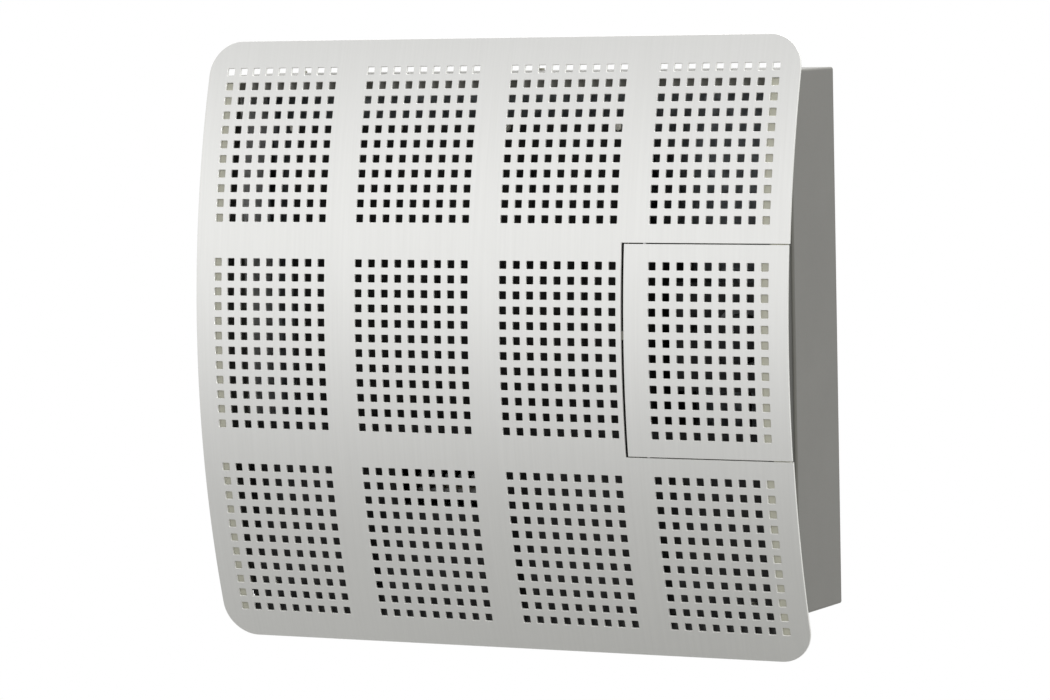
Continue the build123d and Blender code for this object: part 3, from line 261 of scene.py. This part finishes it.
# hot-dip zinc: flat crystals of slightly different greys, 7 mm across
zincSheet = {"colours": ("#787c7e", "#878b8d"), "roughness": (0.35, 0.55), "crystal": (7, 7, 7)}
# stainless sheet brushed upright: lines drawn coarser than real grit so that they show,
# and pale where the punch has sheared it
brushedSheet = {"colours": ("#cfcfcd", "#d2d2d0"), "tone": (2.5, 400, 150), "roughness": (0.33, 0.38),
                "fine": (0.8, 400, 60), "bump": 0.02, "height": 0.03, "anisotropy": 0.4,
                "cutColour": "#f4f4f0", "cutMetallic": 0.3, "cutRoughness": 0.2}
materials = {name: finishMaterial(name, look) for name, look in finishes.items()}
materials["galvanised"] = spangleMaterial("galvanised", zincSheet)
materials["brushed_stainless"] = brushedMaterial("brushed_stainless", brushedSheet)
nodeSlots = {part["node"]: part["material_slot"] for part in frame["record"]["subparts"]}
print("materials made:", len(materials))


# Pieces

def addPiece(name, bm, node):  # a finished piece that stands for a CAD node
    mesh = bpy.data.meshes.new(name)
    bm.to_mesh(mesh)
    bm.free()
    piece = bpy.data.objects.new(name, mesh)
    bpy.context.scene.collection.objects.link(piece)
    mesh.materials.append(materials[nodeSlots[node]])
    mesh.shade_smooth()
    mesh.set_sharp_from_angle(angle=math.radians(sharpAngle))
    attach(piece, nodes[node]["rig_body"])
    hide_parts(node)
    return piece


frontSheet = {
    "radius": 980 * mm, "thickness": 2 * mm, "arc": 620 * mm,
    "corner": 35 * mm, "cornerSteps": 14,
    "hole": 8 * mm, "pitch": 15 * mm, "across": 9, "blocks": 4, "blockSpacing": 163 * mm,
    "middleRows": 12, "outerRows": 11, "bandGap": 45 * mm,
    "holeCorner": 0.5 * mm,  # the punch's own small radius
    "rim": 0.25 * mm,  # edge rolled over by the punch
    "rimAngle": 57,  # degrees: the sheet's front turns by more at its rims
    "longestFacet": 9 * mm,
    "close": 0.001 * mm,  # points nearer than this are the same
}
# the door's place in the sheet, and the gaps round it
doorSheet = {"left": 154 * mm, "gap": 3 * mm, "half": 104 * mm, "endGap": 1.2 * mm}


def rowArcs(band):  # arc positions of one band of rows: 1 above, 0 middle, -1 below
    pitch = frontSheet["pitch"]
    middle = [(row - (frontSheet["middleRows"] - 1) / 2) * pitch for row in range(frontSheet["middleRows"])]
    if band == 0:
        return middle
    first = middle[-1] + frontSheet["bandGap"]
    return [band * (first + row * pitch) for row in range(frontSheet["outerRows"])]


def columnPlaces(column):  # positions across of the holes in one column of blocks
    centre = (column - (frontSheet["blocks"] - 1) / 2) * frontSheet["blockSpacing"]
    middle = (frontSheet["across"] - 1) / 2
    return [centre + (place - middle) * frontSheet["pitch"] for place in range(frontSheet["across"])]


def edgesOf(places):  # both edges of each hole, and of anything else of the holes' width
    half = frontSheet["hole"] / 2
    return sorted({round(place + side * half, 6) for place in places for side in (-1, 1)})


def filled(lines, low, high):  # extra lines where two lie so far apart that the arc would show facets
    marks = [low] + [line for line in lines if low < line < high] + [high]
    extra = []
    for before, after in zip(marks, marks[1:]):
        steps = math.ceil((after - before) / frontSheet["longestFacet"])
        extra += [before + (after - before) * step / steps for step in range(1, steps)]
    return sorted(set(marks[1:-1]) | set(extra))


def cutAlong(bm, lines, normal):  # straight cuts right through the flat sheet
    for line in lines:
        bmesh.ops.bisect_plane(bm, geom=bm.verts[:] + bm.edges[:] + bm.faces[:],
                               dist=frontSheet["close"] / 10,
                               plane_co=Vector(normal) * line, plane_no=normal)


def bend(bm, front):  # rolls the flat sheet, drawn in X and Y with its face up, about a level axis
    radius = frontSheet["radius"]
    for vert in bm.verts:
        turn = vert.co.y / radius
        reach = radius - (front - vert.co.z)
        apex = cadBox[0].y
        vert.co = (vert.co.x, apex + radius - reach * math.cos(turn), reach * math.sin(turn))


def blankSheet(xMin, xMax, half, corner):  # flat, with its corners rounded
    bm = bmesh.new()
    bmesh.ops.create_grid(bm, x_segments=1, y_segments=1, size=0.5)
    bmesh.ops.scale(bm, vec=(xMax - xMin, 2 * half, 1), verts=bm.verts)
    bmesh.ops.translate(bm, vec=((xMin + xMax) / 2, 0, 0), verts=bm.verts)
    if corner:
        bmesh.ops.bevel(bm, geom=bm.verts[:], offset=corner, segments=frontSheet["cornerSteps"],
                        profile=0.5, affect="VERTICES", material=-1)
    return bm


def halfMillimetres(x, s):  # places of holes are compared in half millimetres
    return round(x / mm * 2), round(s / mm * 2)


def punch(bm, half, holes, opening):  # takes out the holes, and the opening for the door
    acrossLines = edgesOf({x for x, s in holes})
    upLines = edgesOf({s for x, s in holes})
    if opening:
        openingEdge = opening["left"] - opening["gap"]
        openingTop = opening["half"] + opening["endGap"]
        acrossLines.append(openingEdge)
        upLines += [-openingTop, openingTop]
    cutAlong(bm, acrossLines, (1, 0, 0))
    cutAlong(bm, filled(sorted(upLines), -half, half), (0, 1, 0))
    centres = {halfMillimetres(x, s) for x, s in holes}
    smallestHole = frontSheet["hole"] ** 2 / 4

    def isHole(face):
        centre = face.calc_center_median()
        return halfMillimetres(centre.x, centre.y) in centres and face.calc_area() > smallestHole

    def isOpening(face):
        centre = face.calc_center_median()
        return bool(opening) and centre.x > openingEdge and abs(centre.y) < openingTop

    corners = {vert for face in bm.faces if isHole(face) for vert in face.verts}
    bmesh.ops.bevel(bm, geom=list(corners), offset=frontSheet["holeCorner"], segments=1, profile=0.5,
                    affect="VERTICES", material=-1)
    gone = [face for face in bm.faces if isHole(face) or isOpening(face)]
    bmesh.ops.delete(bm, geom=gone, context="FACES")


def thicken(bm):  # gives the sheet its thickness, marks its sheared sides and rolls its front rims
    bmesh.ops.solidify(bm, geom=bm.faces[:], thickness=frontSheet["thickness"])
    cutEdge = bm.faces.layers.float.new("cutEdge")
    for face in bm.faces:
        face[cutEdge] = 1.0 if abs(face.normal.z) < 0.5 else 0.0
    front = max(vert.co.z for vert in bm.verts)
    bm.normal_update()
    rims = [edge for edge in bm.edges if len(edge.link_faces) == 2
            and all(abs(vert.co.z - front) < frontSheet["close"] for vert in edge.verts)
            and edge.calc_face_angle(0) > math.radians(frontSheet["rimAngle"])]
    bmesh.ops.bevel(bm, geom=rims, offset=frontSheet["rim"], segments=1, profile=0.5,
                    affect="EDGES", material=-1, clamp_overlap=True)
    return front


def punchedSheet(xMin, xMax, half, holes, corner=0.0, opening=None):
    bm = blankSheet(xMin, xMax, half, corner)
    punch(bm, half, holes, opening)
    bend(bm, thicken(bm))
    bmesh.ops.recalc_face_normals(bm, faces=bm.faces)
    return bm


def panelHoles():
    lastBlock = frontSheet["blocks"] - 1
    return [(x, s) for column in range(frontSheet["blocks"]) for band in (-1, 0, 1)
            if (column, band) != (lastBlock, 0) for x in columnPlaces(column) for s in rowArcs(band)]


def doorHoles():
    return [(x, s) for x in columnPlaces(frontSheet["blocks"] - 1) for s in rowArcs(0)]


panelLow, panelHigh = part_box("front_panel")
addPiece("front_sheet", punchedSheet(panelLow.x, panelHigh.x, frontSheet["arc"] / 2, panelHoles(),
                                     frontSheet["corner"], doorSheet), "front_panel")
doorLow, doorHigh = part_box("door_panel")
addPiece("door_sheet", punchedSheet(doorLow.x, doorHigh.x, doorSheet["half"], doorHoles()), "door_panel")
print("punched sheets made")


def markInside(bm, node):  # faces that look towards the middle of the box
    low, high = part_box(node)
    inside = bm.faces.layers.float.new("inside")
    bm.normal_update()
    for face in bm.faces:
        towards = (low + high) / 2 - face.calc_center_median()
        face[inside] = 1.0 if face.normal.dot(towards) > 0 else 0.0


otherPieces = {
    "close": 0.001 * mm,
    "flat": 1, "edge": 50,  # degrees: faces join below the first, edges are rounded above the second
    "softEdges": {"gas_valve": 0.8 * mm, "thermostat_knob": 0.5 * mm, "igniter_body": 0.5 * mm,
                  "door_catch": 0.5 * mm, "glass_frame": 0.4 * mm, "pipe_nuts": 0.4 * mm,
                  "gas_injector": 0.3 * mm, "cover_bolts": 0.3 * mm},
}


def softenEdges(bm, width):  # rounds the outward edges
    bmesh.ops.dissolve_limit(bm, angle_limit=math.radians(otherPieces["flat"]),
                             verts=bm.verts, edges=bm.edges)
    edges = [edge for edge in bm.edges if len(edge.link_faces) == 2
             and edge.calc_face_angle_signed(0) > math.radians(otherPieces["edge"])]
    bmesh.ops.bevel(bm, geom=edges, offset=width, segments=2, profile=0.5, affect="EDGES",
                    material=-1, clamp_overlap=True)


def smoothCopy(node, softEdge):  # the CAD shape with joined faces and soft shading
    bm = bmesh.new()
    bm.from_mesh(nodes[node].data)
    bmesh.ops.remove_doubles(bm, verts=bm.verts, dist=otherPieces["close"])
    if softEdge:
        softenEdges(bm, softEdge)
    # the inside faces get the painted light of the near-white inside colours
    if "paintedLightInsideColours" in finishes.get(nodeSlots[node], {}):
        markInside(bm, node)
    piece = addPiece(node + "_finished", bm, node)
    weighted = piece.modifiers.new("even_normals", "WEIGHTED_NORMAL")
    weighted.keep_sharp = True


for node in sorted(nodes):
    if node not in ("front_panel", "door_panel"):
        smoothCopy(node, otherPieces["softEdges"].get(node))
print("CAD shapes finished")


# Setting

camera = {"yaw": 27.445, "pitch": -4.509, "roll": -1.228,
          "focal": 4722.2, "width": 1050, "sensor": 36, "farthest": 50,  # focal length and width in pixels
          "right": 26.47 * mm, "down": -13.49 * mm, "away": 4789.1 * mm}


def makeCamera():
    yaw, pitch, roll = (math.radians(camera[name]) for name in ("yaw", "pitch", "roll"))
    look = Vector((-math.sin(yaw) * math.cos(pitch), math.cos(yaw) * math.cos(pitch), math.sin(pitch)))
    level = Vector((math.cos(yaw), math.sin(yaw), 0))
    below = look.cross(level)
    right = level * math.cos(roll) - below * math.sin(roll)
    down = level * math.sin(roll) + below * math.cos(roll)
    place = -(right * camera["right"] + down * camera["down"] + look * camera["away"])
    data = bpy.data.cameras.new("camera")
    data.sensor_width = camera["sensor"]
    data.lens = camera["focal"] / camera["width"] * data.sensor_width
    data.clip_end = camera["farthest"]
    eye = bpy.data.objects.new("camera", data)
    turn = Matrix((right, -down, -look)).transposed()
    eye.matrix_world = Matrix.Translation(place) @ turn.to_4x4()
    bpy.context.scene.collection.objects.link(eye)
    bpy.context.scene.camera = eye


def addLamp(name, place, aim, size, power):
    data = bpy.data.lights.new(name, "AREA")
    data.shape = "RECTANGLE"
    data.size, data.size_y = size
    data.energy = power
    lamp = bpy.data.objects.new(name, data)
    lamp.location = place
    lamp.rotation_euler = (Vector(aim) - Vector(place)).to_track_quat("-Z", "Y").to_euler()
    bpy.context.scene.collection.objects.link(lamp)


def anyRay(tree, *kinds):  # 1 for rays of any of these kinds
    path = addNode(tree, "ShaderNodeLightPath")
    total = path.outputs[kinds[0]]
    for kind in kinds[1:]:
        total = addNode(tree, "ShaderNodeMath", {"operation": "MAXIMUM"},
                        {0: total, 1: path.outputs[kind]}).outputs[0]
    return total


sky = {"soft": 0.68, "white": 1.0}  # strength on matt surfaces, and to the eye and in metal and glass


def makeWorld():
    world = bpy.data.worlds.new("studio")
    bpy.context.scene.world = world
    world.use_nodes = True
    tree = world.node_tree
    tree.nodes.clear()
    soft = addNode(tree, "ShaderNodeBackground", {"Color": (1, 1, 1, 1), "Strength": sky["soft"]})
    white = addNode(tree, "ShaderNodeBackground", {"Color": (1, 1, 1, 1), "Strength": sky["white"]})
    shown = addNode(tree, "ShaderNodeMixShader", {},
                    {0: anyRay(tree, "Is Camera Ray", "Is Glossy Ray", "Is Transmission Ray"),
                     1: soft.outputs[0], 2: white.outputs[0]})
    addNode(tree, "ShaderNodeOutputWorld", {}, {"Surface": shown.outputs[0]})


# a pale floor that the eye sees nearly white, with the heater's shadow where it is less than white;
# in the metal it is white far away and grey close by, which darkens the lower part of the panel
floorSheet = {
    "below": 0.45, "side": 60, "colours": ("#b2b2af", "#b6b6b3"), "tone": (300, 300, 300),
    "eye": {"Scale": (0.4, 0.4, 0)}, "eyeNear": 0.8,
    "metal": {"Scale": (0.24, 0.24, 0), "Location": (-0.14, 0.12, 0)}, "metalNear": 0.0,
}


def whiteShare(tree, mapping, near, rays):  # how white the floor looks to these rays, less so close by
    place = addNode(tree, "ShaderNodeTexCoord")
    flat = addNode(tree, "ShaderNodeMapping", mapping, {"Vector": place.outputs["Object"]})
    close = addNode(tree, "ShaderNodeTexGradient", {"gradient_type": "SPHERICAL"},
                    {"Vector": flat.outputs["Vector"]})
    share = addNode(tree, "ShaderNodeMapRange", {"To Min": 1.0, "To Max": near},
                    {"Value": close.outputs["Fac"]})
    return addNode(tree, "ShaderNodeMath", {"operation": "MULTIPLY"},
                   {0: rays, 1: share.outputs["Result"]}).outputs[0]


def floorMaterial():
    material, tree = newMaterial("floor_paint")
    tone = grain(tree, floorSheet["tone"], noise["toneDetail"])
    matt = addNode(tree, "ShaderNodeBsdfDiffuse", {}, {"Color": twoTone(tree, tone, *floorSheet["colours"])})
    glow = addNode(tree, "ShaderNodeEmission", {"Color": (1, 1, 1, 1), "Strength": 1.0})
    toEye = whiteShare(tree, floorSheet["eye"], floorSheet["eyeNear"],
                       anyRay(tree, "Is Camera Ray", "Is Transmission Ray"))
    toMetal = whiteShare(tree, floorSheet["metal"], floorSheet["metalNear"], anyRay(tree, "Is Glossy Ray"))
    share = addNode(tree, "ShaderNodeMath", {"operation": "MAXIMUM"}, {0: toEye, 1: toMetal})
    shown = addNode(tree, "ShaderNodeMixShader", {},
                    {0: share.outputs[0], 1: matt.outputs[0], 2: glow.outputs[0]})
    addNode(tree, "ShaderNodeOutputMaterial", {}, {"Surface": shown.outputs[0]})
    return material


def makeFloor():
    bm = bmesh.new()
    bmesh.ops.create_grid(bm, x_segments=1, y_segments=1, size=0.5)
    bmesh.ops.scale(bm, vec=(floorSheet["side"], floorSheet["side"], 1), verts=bm.verts)
    bmesh.ops.translate(bm, vec=(0, 0, cadBox[0].z - floorSheet["below"]), verts=bm.verts)
    mesh = bpy.data.meshes.new("floor")
    bm.to_mesh(mesh)
    bm.free()
    mesh.materials.append(floorMaterial())
    floor = bpy.data.objects.new("floor", mesh)
    bpy.context.scene.collection.objects.link(floor)


# metres from the middle of the heater, and watts
lamps = {
    "left_softbox": {"place": (-1.75, -3.0, 0.7), "aim": (0, -0.1, 0), "size": (3.0, 1.8), "power": 8},
    "right_key": {"place": (1.9, -2.4, 1.0), "aim": (0, -0.1, 0), "size": (0.7, 0.7), "power": 18},
    "top_softbox": {"place": (0.3, 0.3, 2.1), "aim": (0, -0.05, 0), "size": (1.6, 1.0), "power": 45},
}
makeCamera()
makeWorld()
makeFloor()
for name, lamp in lamps.items():
    addLamp(name, **lamp)
bpy.context.scene.view_settings.view_transform = "Standard"
print("setting made")
